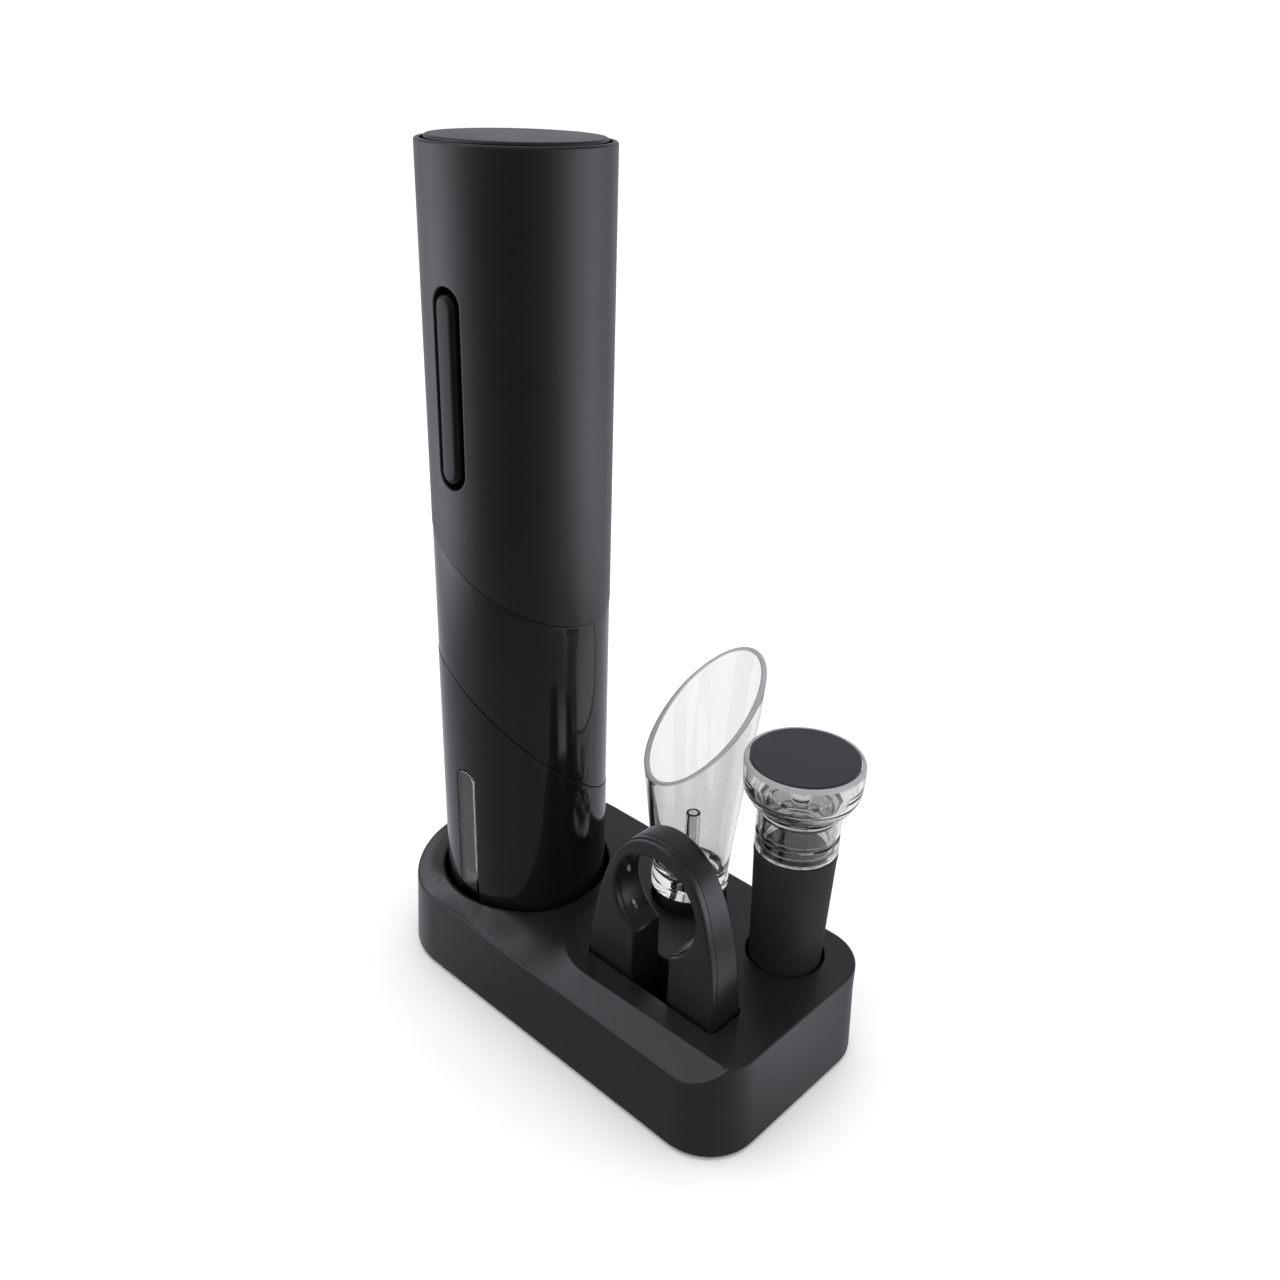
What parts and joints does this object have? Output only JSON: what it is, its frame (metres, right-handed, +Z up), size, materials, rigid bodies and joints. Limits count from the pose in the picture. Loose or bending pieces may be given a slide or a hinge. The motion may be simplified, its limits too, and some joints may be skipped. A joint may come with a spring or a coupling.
{
  "type": "electric_wine_opener_set",
  "caption": "Battery wine opener with rocker switch, geared corkscrew and window, standing in a storage base with foil cutter, clear pourer and vacuum pump stopper.",
  "frame": {"origin": "bottom centre of the whole set, where its rubber feet stand", "axes": "+Z up; +X along the base, away from the opener; -Y towards the foil cutter and the opener's switch and window"},
  "size_m": [0.1428, 0.0744, 0.248],
  "materials": {
    "satin_black": "fine satin moulding texture",
    "gloss_black": "polished",
    "black_rubber": "matt moulded rubber",
    "clear_plastic": "clear polished acrylic",
    "steel": "plain bright",
    "brass": "plain machined",
    "nylon": "natural moulded",
    "board_green": "solder mask",
    "cell_wrap": "shrink wrap"
  },
  "bodies": {
    "base": {"base_housing": "satin_black", "base_plate": "satin_black", "rubber_foot_1": "black_rubber", "rubber_foot_2": "black_rubber", "rubber_foot_3": "black_rubber", "rubber_foot_4": "black_rubber", "base_screw_1": "steel", "base_screw_2": "steel", "base_screw_3": "steel", "base_screw_4": "steel"},
    "opener": {"upper_housing": "satin_black", "accent_band": "gloss_black", "lower_housing": "gloss_black", "cap_seal_ring": "black_rubber", "window_lens": "clear_plastic", "rocker_pin": "steel", "inner_chassis": "nylon", "battery_cell_1": "cell_wrap", "battery_cell_2": "cell_wrap", "battery_cell_3": "cell_wrap", "battery_cell_4": "cell_wrap", "circuit_board": "board_green", "switch_up": "satin_black", "switch_down": "satin_black", "contact_plate_top": "brass", "motor": "steel", "gearbox_plate": "steel", "ring_gear": "nylon", "bearing_plate": "steel", "spindle_bush": "brass", "bottle_collar": "clear_plastic", "chamber_led": "clear_plastic"},
    "cap": {"battery_cap": "satin_black"},
    "rocker": {"rocker_button": "satin_black"},
    "rotor": {"motor_pinion": "brass"},
    "first_carrier": {"carrier_one": "steel"},
    "spindle": {"drive_spindle": "steel", "corkscrew": "steel"},
    "cutter": {"cutter_body": "gloss_black"},
    "pourer": {"pour_spout": "clear_plastic", "pourer_sleeve": "black_rubber", "pourer_core": "clear_plastic", "pourer_air_tube": "clear_plastic"},
    "stopper": {"stopper_neck": "clear_plastic", "stopper_sleeve": "black_rubber", "check_valve": "black_rubber"},
    "pump": {"stopper_knob": "clear_plastic", "stopper_cap_disc": "gloss_black", "pump_rod": "clear_plastic", "pump_seal": "black_rubber"},
    "planet_one_a": {"planet_gear_one_a": "nylon"},
    "planet_one_b": {"planet_gear_one_b": "nylon"},
    "planet_one_c": {"planet_gear_one_c": "nylon"},
    "planet_two_a": {"planet_gear_two_a": "nylon"},
    "planet_two_b": {"planet_gear_two_b": "nylon"},
    "planet_two_c": {"planet_gear_two_c": "nylon"},
    "wheel_1": {"cutting_wheel_1": "steel"},
    "wheel_2": {"cutting_wheel_2": "steel"},
    "wheel_3": {"cutting_wheel_3": "steel"},
    "wheel_4": {"cutting_wheel_4": "steel"}
  },
  "joints": [
    {"name": "opener_lift", "type": "slide", "parent": "base", "child": "opener", "axis": [0, 0, 1], "range_m": [0, 0.04]},
    {"name": "cutter_lift", "type": "slide", "parent": "base", "child": "cutter", "axis": [0, 0, 1], "range_m": [0, 0.035]},
    {"name": "pourer_lift", "type": "slide", "parent": "base", "child": "pourer", "axis": [0, 0, 1], "range_m": [0, 0.035]},
    {"name": "stopper_lift", "type": "slide", "parent": "base", "child": "stopper", "axis": [0, 0, 1], "range_m": [0, 0.035]},
    {"name": "battery_cap_lift", "type": "slide", "parent": "opener", "child": "cap", "axis": [0, 0, 1], "range_m": [0, 0.015]},
    {"name": "pump_stroke", "type": "slide", "parent": "stopper", "child": "pump", "axis": [0, 0, 1], "range_m": [0, 0.03]},
    {"name": "rocker_tilt", "type": "hinge", "parent": "opener", "child": "rocker", "pos_m": [-0.03578, -0.02619, 0.1886], "axis": [0.9994, 0.0349, 0], "range_deg": [-2.5, 2.5], "stiffness_Nm_per_rad": 0.6},
    {"name": "screw_spin", "type": "hinge", "parent": "opener", "child": "spindle", "pos_m": [-0.0365, -0.0056, 0.0668], "axis": [0, 0, 1], "continuous": true},
    {"name": "first_carrier_spin", "type": "hinge", "parent": "opener", "child": "first_carrier", "pos_m": [-0.0365, -0.0056, 0.1218], "axis": [0, 0, 1], "continuous": true},
    {"name": "motor_spin", "type": "hinge", "parent": "opener", "child": "rotor", "pos_m": [-0.0365, -0.0056, 0.1278], "axis": [0, 0, 1], "continuous": true},
    {"name": "planet_one_a_spin", "type": "hinge", "parent": "first_carrier", "child": "planet_one_a", "pos_m": [-0.0245, -0.0056, 0.12755], "axis": [0, 0, 1], "continuous": true},
    {"name": "planet_one_b_spin", "type": "hinge", "parent": "first_carrier", "child": "planet_one_b", "pos_m": [-0.0425, 0.00479, 0.12755], "axis": [0, 0, 1], "continuous": true},
    {"name": "planet_one_c_spin", "type": "hinge", "parent": "first_carrier", "child": "planet_one_c", "pos_m": [-0.0425, -0.01599, 0.12755], "axis": [0, 0, 1], "continuous": true},
    {"name": "planet_two_a_spin", "type": "hinge", "parent": "spindle", "child": "planet_two_a", "pos_m": [-0.0245, -0.0056, 0.11705], "axis": [0, 0, 1], "continuous": true},
    {"name": "planet_two_b_spin", "type": "hinge", "parent": "spindle", "child": "planet_two_b", "pos_m": [-0.0425, 0.00479, 0.11705], "axis": [0, 0, 1], "continuous": true},
    {"name": "planet_two_c_spin", "type": "hinge", "parent": "spindle", "child": "planet_two_c", "pos_m": [-0.0425, -0.01599, 0.11705], "axis": [0, 0, 1], "continuous": true},
    {"name": "wheel_1_spin", "type": "hinge", "parent": "cutter", "child": "wheel_1", "pos_m": [0.04824, -0.0161, 0.06243], "axis": [0, 1, 0], "continuous": true},
    {"name": "wheel_2_spin", "type": "hinge", "parent": "cutter", "child": "wheel_2", "pos_m": [0.01656, -0.0161, 0.06243], "axis": [0, 1, 0], "continuous": true},
    {"name": "wheel_3_spin", "type": "hinge", "parent": "cutter", "child": "wheel_3", "pos_m": [0.01979, -0.0161, 0.05035], "axis": [0, 1, 0], "continuous": true},
    {"name": "wheel_4_spin", "type": "hinge", "parent": "cutter", "child": "wheel_4", "pos_m": [0.04501, -0.0161, 0.05035], "axis": [0, 1, 0], "continuous": true}
  ],
  "couplings": [
    {"joint": "first_carrier_spin", "follows": "screw_spin", "ratio": 5},
    {"joint": "motor_spin", "follows": "screw_spin", "ratio": 25},
    {"joint": "planet_one_a_spin", "follows": "screw_spin", "ratio": -13.333},
    {"joint": "planet_one_b_spin", "follows": "screw_spin", "ratio": -13.333},
    {"joint": "planet_one_c_spin", "follows": "screw_spin", "ratio": -13.333},
    {"joint": "planet_two_a_spin", "follows": "screw_spin", "ratio": -2.6667},
    {"joint": "planet_two_b_spin", "follows": "screw_spin", "ratio": -2.6667},
    {"joint": "planet_two_c_spin", "follows": "screw_spin", "ratio": -2.6667}
  ]
}
